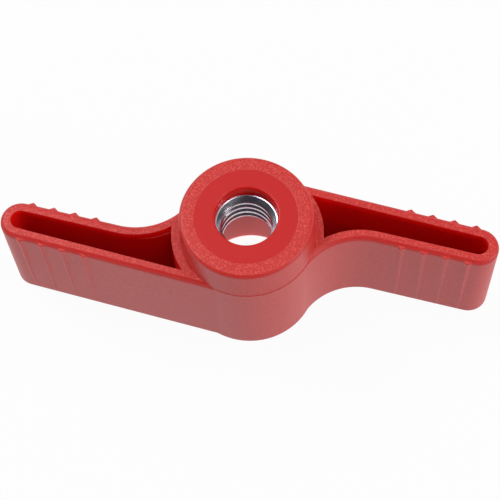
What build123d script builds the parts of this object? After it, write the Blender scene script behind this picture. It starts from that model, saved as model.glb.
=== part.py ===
from build123d import *

import os
from math import asin, atan2, degrees, radians, sqrt, tan

# A wing knob for a clamping screw: a moulded thermoplastic body with two hollow wings,
# set off to either side of the axis like a flat S, and a steel nut moulded into its hub.
# The origin is on the thread axis at the hub's far end, on which the knob stands.
# +Z points to the boss face that clamps, and +X runs along the wings. Lengths are in mm.

# Whole knob
overall_length = 66.0
wing_foot = 0.3  # from the hub's far end up to the foot of the wings
rim_height = 16.2  # from the hub's far end up to the rim of the wings
boss_height = 4.85  # from the rim up to the clamping face

# Hub and boss
hub_diameter = 18.5
parting_drop = 0.45  # from the rim down to the mould's parting plane
parting_step = 0.05  # from the hub in to the boss, on the parting plane
boss_draft_step = 0.3  # how far the boss draws in from its root to its face
boss_edge_radius = 0.6
hub_foot_radius = 0.15

# Wings
hub_reach = 9.08  # from the thread axis across to the wing's outer side, beside the hub
end_reach = 8.9  # the same at the centre of the rounded end
wing_root_width = 5.7  # where the inner flank's straight part begins
wing_end_width = 5.42  # at the centre of the rounded end
flank_start = 17.2  # where the inner flank turns in to the hub
flank_overlap = 0.01  # how far the flank's arc runs past tangent to the hub's circle
rim_radius = 0.8
wing_foot_radius = 0.15

# Pockets in the wings
side_wall = 1.38
end_wall = 1.45
root_wall = 1.0  # between the hub's circle and the pocket
floor_thickness = 1.4
pocket_draft = 0.6  # degrees
ledge_drop = 1.35  # from the rim down to the ledge on the inner flank
ledge_start = 14.5  # from the thread axis to the ledge's pointed end
ledge_turn = 3.0  # degrees by which the inner flank turns off below the ledge

# Grip ribs on both flanks of each wing
rib_count = 4
rib_end_gap = 0.9  # from the centre of the rounded end to the outermost rib
rib_pitch = 3.0
rib_height = 0.34  # how far a rib stands out at its top
rib_foot_height = 0.1  # and at its foot
rib_half_angle = 57.0  # degrees, between the rib's middle plane and each of its sides
rib_root = 0.3  # how far the rib's section reaches into the wing
rib_crest_radius = 0.12
rib_top_radius = 0.15
rib_foot_gap = 0.5  # from the wing's foot up to the rib
rib_top_gap = 0.33  # from the rim down to the rib's top

# Threaded nut
thread_diameter = 8.0
thread_pitch = 1.25
nut_across_flats = 13.0
nut_height = 5.0
nut_face_diameter = 12.4  # flat circle inside the corner chamfers
nut_corner_angle = 30.0  # degrees
turning_clearance = 0.3  # how far the chamfers' section runs past the corners
countersink_diameter = 8.3  # at the face that the screw comes in by
exit_countersink_diameter = 7.2
countersink_angle = 30.0  # degrees from the nut's face

# Bore through the hub
lip_thickness = 2.0  # plastic over the nut, at the boss face
mouth_diameter = 8.3
mouth_edge_radius = 0.35
recess_diameter = 13.8
recess_edge_radius = 1.2

# Values worked out from the sizes above
hub_radius = hub_diameter / 2
boss_root_radius = hub_radius - parting_step
boss_face_radius = boss_root_radius - boss_draft_step
parting_height = rim_height - parting_drop
total_height = rim_height + boss_height
nut_top = total_height - lip_thickness
nut_base = nut_top - nut_height
minor_radius = thread_diameter / 2 - thread_pitch * 5 / 8 * sqrt(3) / 2
wing_end_x = overall_length / 2 - wing_end_width / 2
flank_line = hub_reach + (end_reach - hub_reach) * flank_start / wing_end_x - wing_root_width
tangent_radius = (flank_start**2 + flank_line**2 - hub_radius**2) / (hub_radius + flank_line) / 2
flank_radius = tangent_radius + flank_overlap


def outer_side(x):
    """Where the wing's outer side lies across, at x from the thread axis."""
    return hub_reach + (end_reach - hub_reach) * x / wing_end_x


def inner_side(x):
    """Where the straight part of the wing's inner flank lies across, at x from the thread axis."""
    along = (x - flank_start) / (wing_end_x - flank_start)
    return flank_line + (end_reach - wing_end_width - flank_line) * along


def wing_outline(side_inset, end_inset, turn):
    """Draw the plan of one wing, its sides and end moved in by the insets.

    With a turn, in degrees, the inner flank bears off towards the middle at the ledge's end.
    """
    end_radius = wing_end_width / 2 - side_inset
    end_x = overall_length / 2 - end_inset - end_radius
    end_top = end_reach - side_inset
    end_middle = end_top - end_radius
    end_bottom = end_middle - end_radius
    arc_radius = flank_radius + side_inset
    arc_center_y = flank_line - flank_radius
    full_sweep = degrees(atan2(-arc_center_y, -flank_start)) - 90
    ledge_sweep = degrees(asin((flank_start - ledge_start) / arc_radius))
    outer_line = Line((0, hub_reach - side_inset), (end_x, end_top))
    ThreePointArc((end_x, end_top), (end_x + end_radius, end_middle), (end_x, end_bottom))
    Line((end_x, end_bottom), (flank_start, flank_line + side_inset))
    sweep = ledge_sweep if turn else full_sweep
    flank = CenterArc((flank_start, arc_center_y), arc_radius, 90, sweep)
    if turn:
        heading = (flank % 1).rotate(Axis.Z, -turn)
        flank = JernArc(flank @ 1, heading, arc_radius, full_sweep - ledge_sweep)
    Polyline(flank @ 1, (0, 0), outer_line @ 0)


def pocket_layer(bottom, top, turn):
    """Make one layer of the space inside a wing, drawn in towards its floor by the draft."""
    with BuildPart() as layer:
        for height in (bottom, top):
            inset = (rim_height - height) * tan(radians(pocket_draft))
            with BuildSketch(Plane.XY.offset(height)):
                with BuildLine():
                    wing_outline(side_wall + inset, end_wall + inset, turn)
                make_face()
                Circle(hub_radius + root_wall + inset, mode=Mode.SUBTRACT)
        loft(ruled=True)
    return layer.part


def outside_hub(edge):
    """True for an edge of the wing whose middle lies outside the hub's circle."""
    middle = edge @ 0.5
    return Vector(middle.X, middle.Y).length > hub_radius


def on_recess(edge):
    """True for the edge where the recess meets the hub's far end."""
    return abs(edge.radius - recess_diameter / 2) < recess_edge_radius / 2


# One grip rib: a low ridge that fades towards the foot, with its root sunk in the wing
with BuildPart() as grip_rib:
    rib_top = rim_height - rib_top_gap
    for height, crest in ((wing_foot + rib_foot_gap, rib_foot_height), (rib_top, rib_height)):
        half_base = (crest + rib_root) * tan(radians(rib_half_angle))
        with BuildSketch(Plane.XY.offset(height)):
            with BuildLine():
                Polyline((-half_base, -rib_root), (0, crest), (half_base, -rib_root), close=True)
            make_face()
    loft(ruled=True)
    crest_edge = grip_rib.edges().sort_by(Axis.Y)[-1]
    fillet(crest_edge, rib_crest_radius)
    top_edges = grip_rib.edges().group_by(Axis.Z)[-1].sort_by(Axis.Y)[1:]  # all but the root
    fillet(top_edges, rib_top_radius)

# One wing, as a solid blank with its edges rounded and its ribs on
with BuildPart() as wing_blank:
    with BuildSketch(Plane.XY.offset(wing_foot)):
        with BuildLine():
            wing_outline(0, 0, 0)
        make_face()
    extrude(amount=rim_height - wing_foot)
    fillet(wing_blank.edges().group_by(Axis.Z)[-1].filter_by(outside_hub), rim_radius)
    fillet(wing_blank.edges().group_by(Axis.Z)[0].filter_by(outside_hub), wing_foot_radius)
    for index in range(rib_count):
        rib_x = wing_end_x - rib_end_gap - index * rib_pitch
        with Locations(
            Location((rib_x, outer_side(rib_x), 0)),
            Location((rib_x, inner_side(rib_x), 0), (0, 0, 180)),
        ):
            add(grip_rib.part)

# The space inside one wing: an upper layer open at the rim, and a lower one that starts at a
# narrow ledge on the inner flank
pocket_upper = pocket_layer(rim_height - ledge_drop, rim_height, 0)
pocket_lower = pocket_layer(wing_foot + floor_thickness, rim_height - ledge_drop, ledge_turn)

# Hub with its drafted boss
with BuildPart() as hub_blank:
    Cylinder(hub_radius, parting_height, align=(Align.CENTER, Align.CENTER, Align.MIN))
    fillet(hub_blank.edges().group_by(Axis.Z)[0], hub_foot_radius)
    with Locations((0, 0, parting_height)):
        Cone(
            boss_root_radius,
            boss_face_radius,
            total_height - parting_height,
            align=(Align.CENTER, Align.CENTER, Align.MIN),
        )
    fillet(hub_blank.edges().group_by(Axis.Z)[-1], boss_edge_radius)

# Outside of the nut: a hexagon with its corners chamfered at both faces
with BuildPart() as nut_blank:
    with BuildSketch(Plane.XY.offset(nut_base)):
        RegularPolygon(nut_across_flats / 2, 6, major_radius=False)
    extrude(amount=nut_height)
    with BuildSketch(Plane.XZ):
        with BuildLine():
            face_radius = nut_face_diameter / 2
            turned_radius = nut_across_flats / sqrt(3) + turning_clearance
            drop = (turned_radius - face_radius) * tan(radians(nut_corner_angle))
            Polyline(
                (0, nut_base),
                (face_radius, nut_base),
                (turned_radius, nut_base + drop),
                (turned_radius, nut_top - drop),
                (face_radius, nut_top),
                (0, nut_top),
                close=True,
            )
        make_face()
    revolve(axis=Axis.Z, mode=Mode.INTERSECT)

# Moulded body
with BuildPart() as wing_body:
    add(hub_blank.part)
    with PolarLocations(0, 2):
        add(wing_blank.part)
    with PolarLocations(0, 2):
        add(pocket_upper, mode=Mode.SUBTRACT)
        add(pocket_lower, mode=Mode.SUBTRACT)
    with BuildSketch():
        Circle(recess_diameter / 2)
    extrude(amount=nut_base, mode=Mode.SUBTRACT)
    with BuildSketch(Plane.XY.offset(nut_top)):
        Circle(mouth_diameter / 2)
    extrude(amount=lip_thickness, mode=Mode.SUBTRACT)
    add(nut_blank.part, mode=Mode.SUBTRACT)

    bore_edges = wing_body.edges().filter_by(GeomType.CIRCLE)
    recess_edge = bore_edges.group_by(Axis.Z)[0].filter_by(on_recess)
    fillet(recess_edge, recess_edge_radius)
    mouth_edge = wing_body.edges().group_by(Axis.Z)[-1].sort_by(SortBy.RADIUS)[0]
    fillet(mouth_edge, mouth_edge_radius)

# Nut, with a bore at the thread's inner diameter and a countersink at each face
with BuildPart() as hex_nut:
    add(nut_blank.part)
    with BuildSketch(Plane.XZ):
        with BuildLine():
            slope = tan(radians(countersink_angle))
            countersink_radius = countersink_diameter / 2
            exit_radius = exit_countersink_diameter / 2
            Polyline(
                (0, nut_base),
                (exit_radius, nut_base),
                (minor_radius, nut_base + (exit_radius - minor_radius) * slope),
                (minor_radius, nut_top - (countersink_radius - minor_radius) * slope),
                (countersink_radius, nut_top),
                (0, nut_top),
                close=True,
            )
        make_face()
    revolve(axis=Axis.Z, mode=Mode.SUBTRACT)

wing_body.part.label = "wing_body"
hex_nut.part.label = "hex_nut"

os.makedirs("parts", exist_ok=True)
export_step(wing_body.part, "parts/wing_body.step")
export_step(hex_nut.part, "parts/hex_nut.step")
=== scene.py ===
"""Wing knob: a moulded polyamide body with two hollow wings and a threaded steel nut in its hub.

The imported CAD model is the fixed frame. The body keeps its CAD mesh and gets its moulded finish,
and the nut is modelled here with its real helical thread. Everything is in metres in the row's
frame: the origin is on the thread axis at the hub's far end, +Z points out of the clamping face
and +X runs along the wings.
"""
import logging
import math
from dataclasses import dataclass, field
from enum import Enum
from typing import Any, Callable

import bpy
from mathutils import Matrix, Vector


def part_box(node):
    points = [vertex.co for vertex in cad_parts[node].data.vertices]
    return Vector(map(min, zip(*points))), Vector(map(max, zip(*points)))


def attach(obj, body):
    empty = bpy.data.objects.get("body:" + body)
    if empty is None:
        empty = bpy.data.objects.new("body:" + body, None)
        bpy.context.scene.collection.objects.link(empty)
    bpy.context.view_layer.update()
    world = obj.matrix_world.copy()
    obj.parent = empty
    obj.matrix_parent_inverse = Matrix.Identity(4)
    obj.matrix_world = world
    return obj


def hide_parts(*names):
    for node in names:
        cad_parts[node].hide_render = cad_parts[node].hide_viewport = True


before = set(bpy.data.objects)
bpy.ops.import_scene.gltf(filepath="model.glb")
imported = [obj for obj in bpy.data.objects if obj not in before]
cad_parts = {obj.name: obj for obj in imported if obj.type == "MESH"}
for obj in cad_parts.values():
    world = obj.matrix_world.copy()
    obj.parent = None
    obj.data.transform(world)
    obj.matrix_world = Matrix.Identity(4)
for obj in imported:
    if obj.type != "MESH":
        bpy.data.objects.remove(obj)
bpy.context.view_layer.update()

MM = 0.001

# Settings of a map node with soft ends and of a mix node for colours, and that node's sockets
SMOOTH = {"interpolation_type": "SMOOTHSTEP"}
COLOURS = {"data_type": "RGBA"}
MIX_A = 6
MIX_B = 7
MIX_RESULT = 2

log = logging.getLogger("wing_knob")


class Slot(Enum):
    """The record's material slots."""

    PLASTIC = "moulded_plastic"
    STEEL = "zinc_plated_steel"


class Pick(Enum):
    """What is picked in edit mode."""

    VERTICES = "VERT"
    FACES = "FACE"


class Keep(Enum):
    """What a cut keeps of a piece: what lies outside the tool solid, or what lies inside it."""

    OUTSIDE = "DIFFERENCE"
    INSIDE = "INTERSECT"


# Small helpers


def linear(hex_colour: str) -> tuple[float, float, float, float]:
    """Turn an sRGB hex colour into the linear colour that a shader takes.

    Args:
        hex_colour: Six hex digits, with or without a leading hash.

    Returns:
        Linear red, green, blue and an alpha of 1.
    """
    digits = hex_colour.lstrip("#")
    channels = []
    for start in (0, 2, 4):
        value = int(digits[start:start + 2], 16) / 255
        channels.append(value / 12.92 if value <= 0.04045 else ((value + 0.055) / 1.055) ** 2.4)
    return (channels[0], channels[1], channels[2], 1.0)


def add_node(tree: bpy.types.NodeTree, kind: str, settings: dict[str, Any] | None = None,
             inputs: dict[str | int, Any] | None = None) -> bpy.types.Node:
    """Add one node with its settings, its constants and its incoming links.

    Args:
        tree: The node tree that takes the node.
        kind: Blender's name for the node type.
        settings: Values of the node's own properties.
        inputs: Per input socket, a constant, the output socket that feeds it, or the node whose
            first output feeds it.

    Returns:
        The new node.
    """
    node = tree.nodes.new(kind)
    for name, value in (settings or {}).items():
        setattr(node, name, value)
    for socket, value in (inputs or {}).items():
        source = value.outputs[0] if isinstance(value, bpy.types.Node) else value
        if isinstance(source, bpy.types.NodeSocket):
            tree.links.new(source, node.inputs[socket])
        else:
            node.inputs[socket].default_value = source
    return node


def new_material(name: str) -> tuple[bpy.types.Material, bpy.types.NodeTree]:
    """Start a material with an empty node tree.

    Args:
        name: The material's name.

    Returns:
        The material and its node tree.
    """
    material = bpy.data.materials.new(name)
    material.use_nodes = True
    material.node_tree.nodes.clear()
    return material, material.node_tree


def dress(piece: bpy.types.Object, material: bpy.types.Material) -> None:
    """Give a piece one material in place of what it had."""
    piece.data.materials.clear()
    piece.data.materials.append(material)


def deselect_all() -> None:
    """Leave no object selected, so that the next operator acts on what it makes."""
    if bpy.context.object is not None and bpy.context.object.mode != "OBJECT":
        bpy.ops.object.mode_set(mode="OBJECT")
    bpy.ops.object.select_all(action="DESELECT")


def make_active(piece: bpy.types.Object) -> None:
    """Select one object alone and make it the active one.

    Args:
        piece: The object.
    """
    deselect_all()
    piece.select_set(True)
    bpy.context.view_layer.objects.active = piece


def apply_modifiers(piece: bpy.types.Object) -> None:
    """Apply every modifier of a piece in order.

    Args:
        piece: The piece.
    """
    make_active(piece)
    for name in [modifier.name for modifier in piece.modifiers]:
        bpy.ops.object.modifier_apply(modifier=name)


def apply_place(piece: bpy.types.Object) -> None:
    """Move a piece's place, turn and scale into its mesh."""
    make_active(piece)
    bpy.ops.object.transform_apply(location=True, rotation=True, scale=True)


def edit(piece: bpy.types.Object, pick: Pick) -> None:
    """Enter edit mode on one object with nothing picked.

    Args:
        piece: The object to edit.
        pick: What is picked from now on.
    """
    make_active(piece)
    bpy.ops.object.mode_set(mode="EDIT")
    bpy.ops.mesh.select_mode(type=pick.value)
    bpy.ops.mesh.select_all(action="DESELECT")


def pick_faces(piece: bpy.types.Object, wanted: Callable[[bpy.types.MeshPolygon], bool]) -> None:
    """Pick some faces of a piece that is in edit mode, and no others.

    Args:
        piece: The object in edit mode.
        wanted: Says for a face whether it is picked.
    """
    bpy.ops.mesh.select_mode(type=Pick.FACES.value)
    bpy.ops.mesh.select_all(action="DESELECT")
    bpy.ops.object.mode_set(mode="OBJECT")
    for face in piece.data.polygons:
        face.select = wanted(face)
    bpy.ops.object.mode_set(mode="EDIT")


def cut(piece: bpy.types.Object, tool: bpy.types.Object, keep: Keep) -> None:
    """Cut a piece with a tool solid, and remove the tool.

    Args:
        piece: The piece that is cut.
        tool: The solid that cuts it.
        keep: What is kept of the piece.
    """
    boolean = piece.modifiers.new("cut", "BOOLEAN")
    boolean.operation = keep.value
    boolean.solver = "EXACT"
    boolean.object = tool
    apply_modifiers(piece)
    bpy.data.objects.remove(tool)


# Finishes


@dataclass(frozen=True)
class SoftEdge:
    """Where one look gives way to another: the middle of the change and how far it reaches."""

    middle: float
    reach: float

    def limits(self, unit: float = 1.0) -> dict[str, float]:
        """Give the ends of the change, in a unit such as MM, as a map node's inputs."""
        return {"From Min": (self.middle - self.reach) * unit,
                "From Max": (self.middle + self.reach) * unit}


@dataclass(frozen=True)
class SparkedPolyamide:
    """Polyamide 6, injection moulded in a spark-eroded tool.

    The tool's craters leave an uneven grain on the outside. Its colour is painted a little paler
    than the same plastic where it lay smooth against the pins that hold the nut, a painted sheen,
    and pale painted glints stand out on the flats and less so on the walls, which shine more. The
    polished cores leave the pockets smooth too; their walls are painted a brighter red for the
    light that bounces inside them, and paler still near the rim for painted light that reaches
    only their top.
    The wall of the bore's mouth is dull. Real craters are too fine to show, so the grain is drawn
    coarser. Sizes are in mm.
    """

    colour: str = "#D1120E"
    # Painted sheen: the grain's colour is paler than the smooth plastic. Its pale colour is
    # painted glints
    sheened_grain_colour: str = "#D2211C"
    glint_colour: str = "#EC4F45"
    # The pocket walls are painted a brighter red for the light that bounces inside them, and paler
    # near the rim for painted light on their top
    pocket_bounce_colour: str = "#E60C08"
    pocket_top_light_colour: str = "#FF120D"
    smooth_roughness: float = 0.38
    grain_roughness: float = 0.42
    refraction: float = 1.53
    smooth_gloss: float = 0.42
    grain_gloss: float = 0.52
    wall_gloss: float = 0.72
    mouth_gloss: float = 0.1
    grain_mm: float = 0.24
    grain_depth_mm: float = 0.05
    # Height of the craters' noise at which a painted glint starts, and how strong the painted
    # glints are on walls
    glint_edge: SoftEdge = SoftEdge(0.58, 0.16)
    wall_glints: float = 0.4
    # How far a surface's direction points along the axis, on walls and on flats
    wall_edge: SoftEdge = SoftEdge(0.3, 0.2)
    flat_edge: SoftEdge = SoftEdge(0.93, 0.05)
    # Distance from the axis at which the pins ended, in the boss face and in the recess below
    pin_edge: SoftEdge = SoftEdge(6.88, 0.05)
    recess_radius: float = 7.1
    recess_top: float = 14.2
    mouth_edge: SoftEdge = SoftEdge(4.25, 0.07)
    # Where the pockets lie: height of the painted light at the top of their walls and of the rim,
    # distance from the axis to the wing's root and to its rounded end, and across to the line
    # inside the pocket
    pocket_top_light_edge: SoftEdge = SoftEdge(15.3, 0.8)
    wing_rim: float = 16.1
    wing_root: float = 9.7
    wing_end: float = 30.3
    pocket_line: float = 7.3
    least_facing: float = 0.01

    def cores(self, tree: bpy.types.NodeTree, axes: bpy.types.Node, normal: bpy.types.NodeSocket,
              radius: bpy.types.NodeSocket) -> bpy.types.Node:
        """Find the walls of the pockets, which lay against polished cores of the mould.

        A wall of a pocket faces the line that runs along the inside of its wing, and the wing's
        outer sides face away from it. The knob looks the same after half a turn, so both wings are
        worked out as the one along +X.

        Args:
            tree: The node tree that takes the nodes.
            axes: The node that splits the place into X, Y and Z.
            normal: The surface's direction.
            radius: Distance from the thread axis.

        Returns:
            The node that gives a share of 1 on such walls and 0 elsewhere.
        """
        wing = add_node(tree, "ShaderNodeMath", {"operation": "SIGN"}, {0: axes.outputs["X"]})
        along = add_node(tree, "ShaderNodeMath", {"operation": "ABSOLUTE"}, {0: axes.outputs["X"]})
        beyond = add_node(tree, "ShaderNodeMath", {"operation": "SUBTRACT"},
                          {0: along, 1: self.wing_end * MM})
        past_end = add_node(tree, "ShaderNodeMath", {"operation": "MAXIMUM"}, {0: beyond, 1: 0.0})
        side = add_node(tree, "ShaderNodeMath", {"operation": "MULTIPLY"},
                        {0: axes.outputs["Y"], 1: wing})
        across = add_node(tree, "ShaderNodeMath", {"operation": "SUBTRACT"},
                          {0: side, 1: self.pocket_line * MM})
        from_line = add_node(tree, "ShaderNodeCombineXYZ", inputs={"X": past_end, "Y": across})
        facing = add_node(tree, "ShaderNodeVectorMath", {"operation": "DOT_PRODUCT"},
                          {0: from_line, 1: normal})
        away = add_node(tree, "ShaderNodeMath", {"operation": "MULTIPLY"},
                        {0: facing.outputs["Value"], 1: wing})
        towards = add_node(tree, "ShaderNodeMath", {"operation": "LESS_THAN"},
                           {0: away, 1: -self.least_facing * MM})
        low = add_node(tree, "ShaderNodeMath", {"operation": "LESS_THAN"},
                       {0: axes.outputs["Z"], 1: self.wing_rim * MM})
        pocket = add_node(tree, "ShaderNodeMath", {"operation": "MULTIPLY"}, {0: towards, 1: low})
        in_wing = add_node(tree, "ShaderNodeMath", {"operation": "GREATER_THAN"},
                           {0: radius, 1: self.wing_root * MM})
        return add_node(tree, "ShaderNodeMath", {"operation": "MULTIPLY"}, {0: pocket, 1: in_wing})

    def grained(self, tree: bpy.types.NodeTree, axes: bpy.types.Node, core: bpy.types.Node,
                radius: bpy.types.NodeSocket) -> bpy.types.Node:
        """Find the surface that lay against the spark-eroded tool, outside its pins and cores.

        Args:
            tree: The node tree that takes the nodes.
            axes: The node that splits the place into X, Y and Z.
            core: The share that lay against the cores.
            radius: Distance from the thread axis.

        Returns:
            The node that gives a share of 1 on the grained surface and 0 elsewhere.
        """
        recess = add_node(tree, "ShaderNodeMath", {"operation": "LESS_THAN"},
                          {0: axes.outputs["Z"], 1: self.recess_top * MM})
        wider = add_node(tree, "ShaderNodeMath", {"operation": "MULTIPLY"},
                         {0: recess, 1: (self.recess_radius - self.pin_edge.middle) * MM})
        reach = add_node(tree, "ShaderNodeMath", {"operation": "SUBTRACT"}, {0: radius, 1: wider})
        outside_pin = add_node(tree, "ShaderNodeMapRange", SMOOTH,
                               {"Value": reach, **self.pin_edge.limits(MM)})
        no_core = add_node(tree, "ShaderNodeMath", {"operation": "SUBTRACT"}, {0: 1.0, 1: core})
        return add_node(tree, "ShaderNodeMath", {"operation": "MULTIPLY"},
                        {0: outside_pin, 1: no_core})

    def colours(self, tree: bpy.types.NodeTree, painted_glints: bpy.types.Node, pocket_top_lit: bpy.types.Node,
                core: bpy.types.Node, grained: bpy.types.Node) -> bpy.types.NodeSocket:
        """Put the plastic's colours together.

        Args:
            tree: The node tree that takes the nodes.
            painted_glints: The share that the painted glints have of the grain.
            pocket_top_lit: The share that the painted light at the top has of a pocket's wall.
            core: The share that lay against the cores.
            grained: The share that lay against the spark-eroded tool.

        Returns:
            The socket that carries the colour.
        """
        # The grain's colour with its painted sheen, mixed with painted glints
        grain = add_node(tree, "ShaderNodeMix", COLOURS, {
            "Factor": painted_glints,
            MIX_A: linear(self.sheened_grain_colour),
            MIX_B: linear(self.glint_colour),
        })
        # Pocket walls: brighter red painted for bounced light, paler near the rim for painted
        # light on top
        pocket = add_node(tree, "ShaderNodeMix", COLOURS, {
            "Factor": pocket_top_lit,
            MIX_A: linear(self.pocket_bounce_colour),
            MIX_B: linear(self.pocket_top_light_colour),
        })
        smooth = add_node(tree, "ShaderNodeMix", COLOURS, {
            "Factor": core,
            MIX_A: linear(self.colour),
            MIX_B: pocket.outputs[MIX_RESULT],
        })
        return add_node(tree, "ShaderNodeMix", COLOURS, {
            "Factor": grained,
            MIX_A: smooth.outputs[MIX_RESULT],
            MIX_B: grain.outputs[MIX_RESULT],
        }).outputs[MIX_RESULT]

    def gloss(self, tree: bpy.types.NodeTree, wall: bpy.types.Node, grained: bpy.types.Node,
              radius: bpy.types.NodeSocket) -> bpy.types.Node:
        """Work out how strongly the plastic reflects.

        Args:
            tree: The node tree that takes the nodes.
            wall: The share that a surface has as a wall.
            grained: The share that lay against the spark-eroded tool.
            radius: Distance from the thread axis.

        Returns:
            The node that gives the shader's specular level.
        """
        outside_mouth = add_node(tree, "ShaderNodeMapRange", SMOOTH,
                                 {"Value": radius, **self.mouth_edge.limits(MM)})
        smooth = add_node(tree, "ShaderNodeMapRange", inputs={
            "Value": outside_mouth,
            "To Min": self.mouth_gloss,
            "To Max": self.smooth_gloss,
        })
        grain = add_node(tree, "ShaderNodeMapRange", inputs={
            "Value": wall,
            "To Min": self.grain_gloss,
            "To Max": self.wall_gloss,
        })
        return add_node(tree, "ShaderNodeMapRange", inputs={
            "Value": grained,
            "To Min": smooth,
            "To Max": grain,
        })

    def material(self) -> bpy.types.Material:
        """Build the material.

        Returns:
            The moulded plastic with its grained, smooth and polished parts, its painted sheen and
            glints on the grain and its painted light in the pockets.
        """
        material, tree = new_material("sparked_polyamide")
        space = add_node(tree, "ShaderNodeTexCoord")
        place, normal = space.outputs["Object"], space.outputs["Normal"]
        axes = add_node(tree, "ShaderNodeSeparateXYZ", inputs={0: place})
        plan = add_node(tree, "ShaderNodeCombineXYZ",
                        inputs={"X": axes.outputs["X"], "Y": axes.outputs["Y"]})
        radius = add_node(tree, "ShaderNodeVectorMath", {"operation": "LENGTH"},
                          {0: plan}).outputs["Value"]
        core = self.cores(tree, axes, normal, radius)
        grained = self.grained(tree, axes, core, radius)
        craters = add_node(tree, "ShaderNodeTexNoise", {"noise_dimensions": "3D"}, {
            "Vector": place,
            "Scale": 1 / (self.grain_mm * MM),
            "Detail": 2.0,
            "Roughness": 0.5,
        })
        depth = add_node(tree, "ShaderNodeMath", {"operation": "MULTIPLY"},
                         {0: craters, 1: grained})
        bump = add_node(tree, "ShaderNodeBump", inputs={
            "Strength": 1.0,
            "Distance": self.grain_depth_mm * MM,
            "Height": depth,
        })
        upright = add_node(tree, "ShaderNodeSeparateXYZ", inputs={0: normal})
        lie = add_node(tree, "ShaderNodeMath", {"operation": "ABSOLUTE"},
                       {0: upright.outputs["Z"]})
        sloping = add_node(tree, "ShaderNodeMapRange", SMOOTH,
                           {"Value": lie, **self.wall_edge.limits()})
        flat = add_node(tree, "ShaderNodeMapRange", SMOOTH,
                        {"Value": lie, **self.flat_edge.limits()})
        wall = add_node(tree, "ShaderNodeMath", {"operation": "SUBTRACT"}, {0: 1.0, 1: sloping})
        on_wall = add_node(tree, "ShaderNodeMath", {"operation": "MULTIPLY"},
                           {0: wall, 1: self.wall_glints})
        coarse = add_node(tree, "ShaderNodeMath", {"operation": "MAXIMUM"}, {0: flat, 1: on_wall})
        # Painted glints on the crater tops, strongest on flats
        high = add_node(tree, "ShaderNodeMapRange", SMOOTH,
                        {"Value": craters, **self.glint_edge.limits()})
        painted_glints = add_node(tree, "ShaderNodeMath", {"operation": "MULTIPLY"}, {0: high, 1: coarse})
        # Painted light on the top of the pocket walls, fading below the rim
        pocket_top_lit = add_node(tree, "ShaderNodeMapRange", SMOOTH,
                       {"Value": axes.outputs["Z"], **self.pocket_top_light_edge.limits(MM)})
        roughness = add_node(tree, "ShaderNodeMapRange", inputs={
            "Value": grained,
            "To Min": self.smooth_roughness,
            "To Max": self.grain_roughness,
        })
        shader = add_node(tree, "ShaderNodeBsdfPrincipled", inputs={
            "Base Color": self.colours(tree, painted_glints, pocket_top_lit, core, grained),
            "Roughness": roughness,
            "Normal": bump,
            "IOR": self.refraction,
            "Specular IOR Level": self.gloss(tree, wall, grained, radius),
        })
        add_node(tree, "ShaderNodeOutputMaterial", inputs={"Surface": shader})
        return material


@dataclass(frozen=True)
class ZincPlatedSteel:
    """Turned and tapped steel, bright zinc plated with a blue passivation.

    Zinc is a pale blue-grey metal, and the passivation tints it violet in places. The thin plating
    follows the marks that the tools leave around the axis. Sizes are in mm.
    """

    colour: str = "#D6D9DE"
    tint: str = "#C4B6CE"
    tint_mm: float = 1.6
    tint_edge: SoftEdge = SoftEdge(0.52, 0.14)
    roughness: float = 0.19
    mark_mm: float = 0.09
    mark_depth_mm: float = 0.0012
    mark_stretch: float = 8.0

    def material(self) -> bpy.types.Material:
        """Build the material.

        Returns:
            The plated steel.
        """
        material, tree = new_material("zinc_plated_steel")
        place = add_node(tree, "ShaderNodeTexCoord").outputs["Object"]
        stretched = add_node(tree, "ShaderNodeVectorMath", {"operation": "MULTIPLY"},
                             {0: place, 1: (1 / self.mark_stretch, 1 / self.mark_stretch, 1.0)})
        marks = add_node(tree, "ShaderNodeTexNoise", inputs={
            "Vector": stretched,
            "Scale": 1 / (self.mark_mm * MM),
            "Detail": 2.0,
        })
        bump = add_node(tree, "ShaderNodeBump", inputs={
            "Strength": 1.0,
            "Distance": self.mark_depth_mm * MM,
            "Height": marks,
        })
        clouds = add_node(tree, "ShaderNodeTexNoise", inputs={
            "Vector": place,
            "Scale": 1 / (self.tint_mm * MM),
        })
        tinted = add_node(tree, "ShaderNodeMapRange", SMOOTH,
                          {"Value": clouds, **self.tint_edge.limits()})
        colour = add_node(tree, "ShaderNodeMix", COLOURS, {
            "Factor": tinted,
            MIX_A: linear(self.colour),
            MIX_B: linear(self.tint),
        })
        shader = add_node(tree, "ShaderNodeBsdfPrincipled", inputs={
            "Base Color": colour.outputs[MIX_RESULT],
            "Metallic": 1.0,
            "Roughness": self.roughness,
            "Normal": bump,
        })
        add_node(tree, "ShaderNodeOutputMaterial", inputs={"Surface": shader})
        return material


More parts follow.
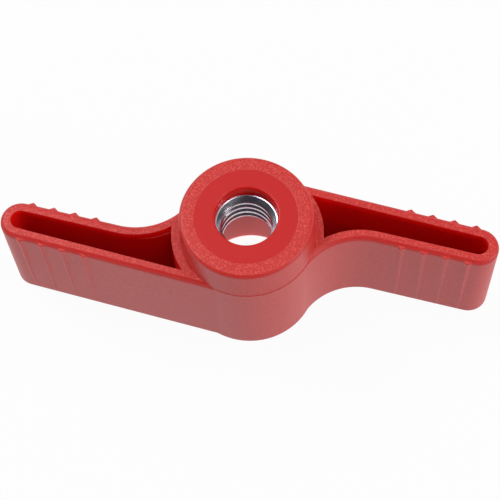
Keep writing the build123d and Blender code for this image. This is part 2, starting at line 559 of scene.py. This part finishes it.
@dataclass(frozen=True)
class LightTable:
    """The white translucent sheet that the knob is photographed on, lit from below.

    It hardly glows at the knob around it, but strongly at the wall of the recess in the hub's far
    end, which the photograph shows lit from below through the bore. Sizes are in mm.
    """

    colour: str = "#F0F0F0"
    glow: float = 0.1
    glow_at_wall: float = 6.2
    glow_in_recess: float = 0.05
    recess_edge: SoftEdge = SoftEdge(7.6, 0.4)
    wall_edge: SoftEdge = SoftEdge(6.3, 0.9)
    glow_share: float = 0.95

    def background_rays(self, tree: bpy.types.NodeTree) -> bpy.types.Node:
        """Tell the rays that see the sheet, or mirror or transmit it, from those that light.

        Args:
            tree: The node tree that takes the nodes.

        Returns:
            The node that gives 1 for the camera's rays and for mirrored and transmitted ones.
        """
        path = add_node(tree, "ShaderNodeLightPath")
        mirrored = add_node(tree, "ShaderNodeMath", {"operation": "MAXIMUM"}, {
            0: path.outputs["Is Glossy Ray"],
            1: path.outputs["Is Transmission Ray"],
        })
        return add_node(tree, "ShaderNodeMath", {"operation": "MAXIMUM"},
                        {0: path.outputs["Is Camera Ray"], 1: mirrored})

    def material(self) -> bpy.types.Material:
        """Build the material.

        Returns:
            A white sheet that glows, and looks all but white to the camera and to reflections.
        """
        material, tree = new_material("light_table")
        place = add_node(tree, "ShaderNodeTexCoord").outputs["Object"]
        radius = add_node(tree, "ShaderNodeVectorMath", {"operation": "LENGTH"},
                          {0: place}).outputs["Value"]
        at_wall = add_node(tree, "ShaderNodeMapRange", SMOOTH,
                           {"Value": radius, **self.wall_edge.limits(MM)})
        outside = add_node(tree, "ShaderNodeMapRange", SMOOTH,
                           {"Value": radius, **self.recess_edge.limits(MM)})
        inside_glow = add_node(tree, "ShaderNodeMapRange", inputs={
            "Value": at_wall,
            "To Min": self.glow_in_recess,
            "To Max": self.glow_at_wall,
        })
        glow = add_node(tree, "ShaderNodeMapRange", inputs={
            "Value": outside,
            "To Min": inside_glow,
            "To Max": self.glow,
        })
        strength = add_node(tree, "ShaderNodeMapRange", inputs={
            "Value": self.background_rays(tree),
            "To Min": glow,
            "To Max": 1.0,
        })
        paper = add_node(tree, "ShaderNodeBsdfDiffuse", inputs={"Color": linear(self.colour)})
        light = add_node(tree, "ShaderNodeEmission", inputs={"Strength": strength})
        mixed = add_node(tree, "ShaderNodeMixShader",
                         inputs={0: self.glow_share, 1: paper, 2: light})
        add_node(tree, "ShaderNodeOutputMaterial", inputs={"Surface": mixed})
        return material


@dataclass(frozen=True)
class WhiteRoom:
    """The surroundings: a white backdrop all around, up to a dim ceiling."""

    backdrop: str = "#FFFFFF"
    backdrop_edge: SoftEdge = SoftEdge(0.40, 0.08)
    ceiling_light: float = 0.06

    def world(self) -> bpy.types.World:
        """Build the world.

        Returns:
            The world, white all around up to the backdrop's edge and dim above it.
        """
        world = bpy.data.worlds.new("white_room")
        world.use_nodes = True
        tree = world.node_tree
        tree.nodes.clear()
        direction = add_node(tree, "ShaderNodeTexCoord").outputs["Generated"]
        axes = add_node(tree, "ShaderNodeSeparateXYZ", inputs={0: direction})
        ceiling = add_node(tree, "ShaderNodeMapRange", SMOOTH,
                           {"Value": axes.outputs["Z"], **self.backdrop_edge.limits()})
        strength = add_node(tree, "ShaderNodeMapRange", inputs={
            "Value": ceiling,
            "To Min": 1.0,
            "To Max": self.ceiling_light,
        })
        light = add_node(tree, "ShaderNodeBackground", inputs={
            "Color": linear(self.backdrop),
            "Strength": strength,
        })
        add_node(tree, "ShaderNodeOutputWorld", inputs={"Surface": light})
        return world


# Sub-assemblies


@dataclass
class MouldedBody:
    """The moulded knob, a hub with its boss and two hollow, ribbed wings. Its CAD mesh is kept."""

    node: str = "wing_body"
    finish: SparkedPolyamide = SparkedPolyamide()

    def dress(self) -> bpy.types.Object:
        """Give the CAD node its moulded finish.

        Returns:
            The node's object.
        """
        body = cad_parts[self.node]
        dress(body, self.finish.material())
        return body


@dataclass
class ThreadedNut:
    """The steel nut that is moulded into the hub, with an M8 thread cut in it. Sizes in mm."""

    node: str = "hex_nut"
    finish: ZincPlatedSteel = ZincPlatedSteel()
    base: float = field(init=False)
    height: float = field(init=False)
    across_flats: float = 13.0
    face_diameter: float = 12.4
    corner_angle: float = 30.0
    turning_clearance: float = 0.3
    # How nearly a face's direction follows the axis for it to count as an end face
    end_facing: float = 0.9
    # Thread, with the lean of the chords that round a crest's edges, in degrees
    pitch: float = 1.25
    major_radius: float = 4.0
    drilled_radius: float = 3.45
    flank_angle: float = 30.0
    crest_radius: float = 0.05
    crest_chords: tuple[float, ...] = (10.0, 30.0, 50.0)
    # Height of one crest on the far side, and where that side lies around the axis, in degrees
    crest_on_far_side: float = 17.9
    far_side_angle: float = 109.7
    steps_per_turn: int = 120
    spare_turns: int = 2
    tap_overrun: float = 0.9
    # Diameter at the face and slope from it, in degrees, of the cones that open each end
    mouth_cones: tuple[tuple[float, float], ...] = ((8.45, 14.0), (8.2, 30.0), (7.6, 48.0))
    exit_cones: tuple[tuple[float, float], ...] = ((7.2, 30.0),)
    cone_reach: float = 0.5
    round_steps: int = 160
    smooth_angle: float = 12.0
    # How near points lie that are made one, in the screw and after it, and at the ends' cuts
    screw_merge: float = 0.0005
    merge: float = 0.001
    end_merge: float = 0.0001

    def __post_init__(self) -> None:
        """Take the nut's place along the axis from its CAD node."""
        lower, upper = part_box(self.node)
        self.base = lower[2] / MM
        self.height = (upper[2] - lower[2]) / MM

    @property
    def top(self) -> float:
        """Height of the nut's upper face."""
        return self.base + self.height

    @property
    def corner_radius(self) -> float:
        """Distance from the axis to the hexagon's corners."""
        return self.across_flats / math.sqrt(3)

    @property
    def crest_flat(self) -> float:
        """Width of the thread's flat crests, which the tap drill leaves."""
        sharp_radius = self.major_radius - self.pitch * 7 / 8 * math.sqrt(3) / 2
        return 2 * (self.drilled_radius - sharp_radius) * math.tan(math.radians(self.flank_angle))

    @property
    def crest_trim(self) -> float:
        """How much each rounded edge takes off the width of a crest."""
        return self.crest_radius * math.tan(math.radians(self.flank_angle))

    def blank(self) -> bpy.types.Object:
        """Model the hexagon with its corners turned off at both faces.

        Returns:
            The blank, without its bore.
        """
        deselect_all()
        middle = (self.base + self.height / 2) * MM
        bpy.ops.mesh.primitive_cylinder_add(
            vertices=6, radius=self.corner_radius * MM, depth=self.height * MM,
            location=(0, 0, middle), rotation=(0, 0, math.radians(90)))
        blank = bpy.context.object
        blank.name = "threaded_nut"
        apply_place(blank)
        turned_radius = self.corner_radius + self.turning_clearance
        drop = (turned_radius - self.face_diameter / 2) * math.tan(math.radians(self.corner_angle))
        deselect_all()
        bpy.ops.mesh.primitive_cylinder_add(
            vertices=self.round_steps, radius=turned_radius * MM,
            depth=(self.height - 2 * drop) * MM, location=(0, 0, middle))
        turned = bpy.context.object
        apply_place(turned)
        shrink = self.face_diameter / 2 / turned_radius
        edit(turned, Pick.FACES)
        for up in (1, -1):
            pick_faces(turned, lambda face: face.normal.z * up > self.end_facing)
            bpy.ops.mesh.extrude_region_move(
                TRANSFORM_OT_translate={"value": (0, 0, up * drop * MM)})
            bpy.ops.transform.resize(value=(shrink, shrink, 1), center_override=(0, 0, middle))
        bpy.ops.object.mode_set(mode="OBJECT")
        cut(blank, turned, Keep.INSIDE)
        return blank

    def countersink(self, face: float, diameter: float, angle: float,
                    inward: int) -> bpy.types.Object:
        """Model the cone that a countersink takes out of one face.

        Args:
            face: Height of the face.
            diameter: The countersink's diameter at the face.
            angle: How steeply the cone slopes from the face, in degrees.
            inward: 1 if the cone goes up into the nut, -1 if it goes down.

        Returns:
            The cone, standing a little out of the face.
        """
        deselect_all()
        slope = math.tan(math.radians(angle))
        wide = diameter / 2 + self.cone_reach / slope
        depth = wide * slope
        centre = face + inward * (depth / 2 - self.cone_reach)
        bpy.ops.mesh.primitive_cone_add(
            vertices=self.round_steps,
            radius1=(wide if inward > 0 else 0) * MM, radius2=(0 if inward > 0 else wide) * MM,
            depth=depth * MM, location=(0, 0, centre * MM))
        cone = bpy.context.object
        apply_place(cone)
        return cone

    def thread_form(self) -> list[tuple[float, float]]:
        """Draw the thread's form over one pitch, with its crest's edges rounded by short chords.

        Returns:
            Steps outward and upward: along a crest, round its edge, out on a flank, along the root
            and back in to the next crest.
        """
        thread_depth = self.major_radius - self.drilled_radius
        flank = thread_depth * math.tan(math.radians(self.flank_angle))
        root = self.pitch / 8
        chord = 2 * self.crest_radius * math.sin(math.radians(self.crest_chords[0]))
        rounding = [(chord * math.sin(math.radians(lean)), chord * math.cos(math.radians(lean)))
                    for lean in self.crest_chords]
        up_flank = (thread_depth - self.crest_radius / 2, flank - self.crest_trim / 2)
        return [(0, self.crest_flat - 2 * self.crest_trim), *rounding, up_flank, (0, root),
                (-up_flank[0], up_flank[1]), *((-across, up) for across, up in reversed(rounding))]

    def tap(self) -> bpy.types.Object:
        """Model the solid that the tap sweeps: one thread form, screwed up the bore and capped.

        Returns:
            The threaded core, longer than the nut at both ends.
        """
        deselect_all()
        turns_below = math.ceil((self.crest_on_far_side - self.base) / self.pitch)
        start = self.crest_on_far_side - self.pitch * (
            self.far_side_angle / 360 + turns_below + self.spare_turns)
        bpy.ops.mesh.primitive_plane_add(size=MM, location=(0, 0, 0))
        core = bpy.context.object
        edit(core, Pick.VERTICES)
        bpy.ops.mesh.select_all(action="SELECT")
        bpy.ops.mesh.merge(type="CENTER")
        bpy.ops.transform.translate(value=(
            self.drilled_radius * MM, 0, (start - self.crest_flat / 2 + self.crest_trim) * MM))
        for across, up in self.thread_form():
            bpy.ops.mesh.extrude_region_move(
                TRANSFORM_OT_translate={"value": (across * MM, 0, up * MM)})
        bpy.ops.object.mode_set(mode="OBJECT")
        screw = core.modifiers.new("thread", "SCREW")
        screw.axis = "Z"
        screw.angle = math.tau
        screw.screw_offset = self.pitch * MM
        screw.iterations = math.ceil(self.height / self.pitch) + 2 * self.spare_turns + 1
        screw.steps = self.steps_per_turn
        screw.render_steps = self.steps_per_turn
        screw.use_merge_vertices = True
        screw.merge_threshold = self.screw_merge * MM
        apply_modifiers(core)
        edit(core, Pick.VERTICES)
        bpy.ops.mesh.select_all(action="SELECT")
        bpy.ops.mesh.remove_doubles(threshold=self.merge * MM)
        ends = ((self.base - self.tap_overrun, -1), (self.top + self.tap_overrun, 1))
        for level, outward in ends:
            bpy.ops.mesh.select_all(action="SELECT")
            bpy.ops.mesh.bisect(plane_co=(0, 0, level * MM), plane_no=(0, 0, outward),
                                use_fill=True, clear_outer=True,
                                threshold=self.end_merge * MM)
        bpy.ops.mesh.select_all(action="SELECT")
        bpy.ops.mesh.normals_make_consistent(inside=False)
        bpy.ops.object.mode_set(mode="OBJECT")
        return core

    def build(self) -> bpy.types.Object:
        """Model the whole nut in place of its CAD node.

        Returns:
            The finished nut.
        """
        nut = self.blank()
        cut(nut, self.tap(), Keep.OUTSIDE)
        openings = ((self.top, self.mouth_cones, -1), (self.base, self.exit_cones, 1))
        for face, cones, inward in openings:
            for diameter, angle in cones:
                cut(nut, self.countersink(face, diameter, angle, inward), Keep.OUTSIDE)
        make_active(nut)
        bpy.ops.object.shade_smooth_by_angle(angle=math.radians(self.smooth_angle))
        dress(nut, self.finish.material())
        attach(nut, "root")
        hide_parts(self.node)
        return nut


@dataclass(frozen=True)
class SoftLamp:
    """One rectangular studio lamp that points at the knob."""

    name: str
    place: tuple[float, float, float]
    size: tuple[float, float]
    watts: float

    def build(self) -> bpy.types.Object:
        """Add the lamp.

        Returns:
            The lamp's object.
        """
        data = bpy.data.lights.new(self.name, "AREA")
        data.shape = "RECTANGLE"
        data.size = self.size[0]
        data.size_y = self.size[1]
        data.energy = self.watts
        lamp = bpy.data.objects.new(self.name, data)
        bpy.context.scene.collection.objects.link(lamp)
        lamp.location = self.place
        lamp.rotation_euler = (-Vector(self.place)).to_track_quat("-Z", "Y").to_euler()
        return lamp


@dataclass
class Studio:
    """The light table, the lamps, the surroundings and the camera. Places are in metres."""

    table: LightTable = LightTable()
    table_radius: float = 3.0
    table_sides: int = 64
    room: WhiteRoom = WhiteRoom()
    lamps: tuple[SoftLamp, ...] = (
        SoftLamp("left_top_lamp", (-0.29, 0.0, 0.80), (0.33, 0.33), 1.05),
        SoftLamp("right_top_lamp", (0.29, 0.0, 0.80), (0.33, 0.33), 1.05),
        SoftLamp("left_lamp", (-0.54, 0.19, 0.63), (0.3, 0.3), 1.9),
        SoftLamp("right_lamp", (0.76, -0.06, 0.36), (0.3, 0.3), 2.1),
        SoftLamp("back_lamp", (0.0, 0.50, 0.95), (1.4, 0.7), 1.7),
    )
    camera_place: tuple[float, float, float] = (0.029471, -0.082874, 0.196487)
    camera_turn: tuple[float, float, float] = (25.2663, 1.6420, 15.9722)
    lens: float = 107.749
    sensor: float = 36.0
    nearest: float = 0.01

    def add_table(self) -> bpy.types.Object:
        """Add the light table that the knob stands on.

        Returns:
            The table's sheet.
        """
        deselect_all()
        bpy.ops.mesh.primitive_circle_add(vertices=self.table_sides, radius=self.table_radius,
                                          fill_type="NGON")
        table = bpy.context.object
        table.name = "light_table"
        dress(table, self.table.material())
        return table

    def add_camera(self) -> bpy.types.Object:
        """Add the camera where the photograph was taken from.

        Returns:
            The camera's object.
        """
        data = bpy.data.cameras.new("photo_camera")
        data.lens = self.lens
        data.sensor_width = self.sensor
        data.clip_start = self.nearest
        camera = bpy.data.objects.new("photo_camera", data)
        bpy.context.scene.collection.objects.link(camera)
        camera.location = self.camera_place
        camera.rotation_euler = [math.radians(angle) for angle in self.camera_turn]
        bpy.context.scene.camera = camera
        return camera

    def build(self) -> None:
        """Set the whole studio up around the knob."""
        self.add_table()
        bpy.context.scene.world = self.room.world()
        for lamp in self.lamps:
            lamp.build()
        self.add_camera()
        bpy.context.scene.view_settings.view_transform = "Standard"


def main() -> None:
    """Build each sub-assembly and the studio, and report what was made."""
    logging.basicConfig(level=logging.INFO, format="%(name)s: %(message)s")
    body = MouldedBody().dress()
    log.info("%s dressed, %d faces", body.name, len(body.data.polygons))
    nut = ThreadedNut().build()
    log.info("%s built, %d faces", nut.name, len(nut.data.polygons))
    Studio().build()


if __name__ == "__main__":
    main()
